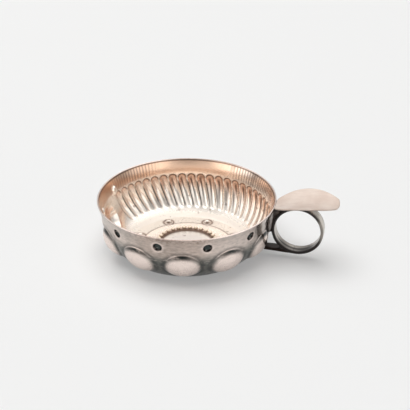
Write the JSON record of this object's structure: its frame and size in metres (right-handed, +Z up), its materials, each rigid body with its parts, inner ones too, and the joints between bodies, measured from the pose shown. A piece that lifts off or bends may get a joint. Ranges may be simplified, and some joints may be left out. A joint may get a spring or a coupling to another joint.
{
  "type": "tastevin",
  "caption": "Shallow silver wine-tasting cup with a bossed and fluted bowl, a finger ring and a leaf-shaped thumb rest, soldered together as one rigid hand cup.",
  "frame": {"origin": "centre of the bowl's base, on the plane that the base ring stands on", "axes": "+Z up along the bowl's axis, +X out along the handle, +Y completes the right-hand frame"},
  "size_m": [0.1112, 0.082, 0.0312],
  "materials": {
    "bowl_silver": "aged hand-burnished silver, warm tarnish inside the band, dark in the recesses",
    "ring_silver": "worn polished silver strap",
    "rest_silver": "satin silver with fine lengthwise wear lines",
    "solder": "dull silver solder fillet"
  },
  "bodies": {
    "root": {"bowl": "bowl_silver", "finger_ring": "ring_silver", "thumb_rest": "rest_silver", "rim_seam": "solder", "ring_top_seam": "solder", "ring_side_seam": "solder", "tail_seam": "solder", "closing_seam": "solder"}
  },
  "joints": []
}
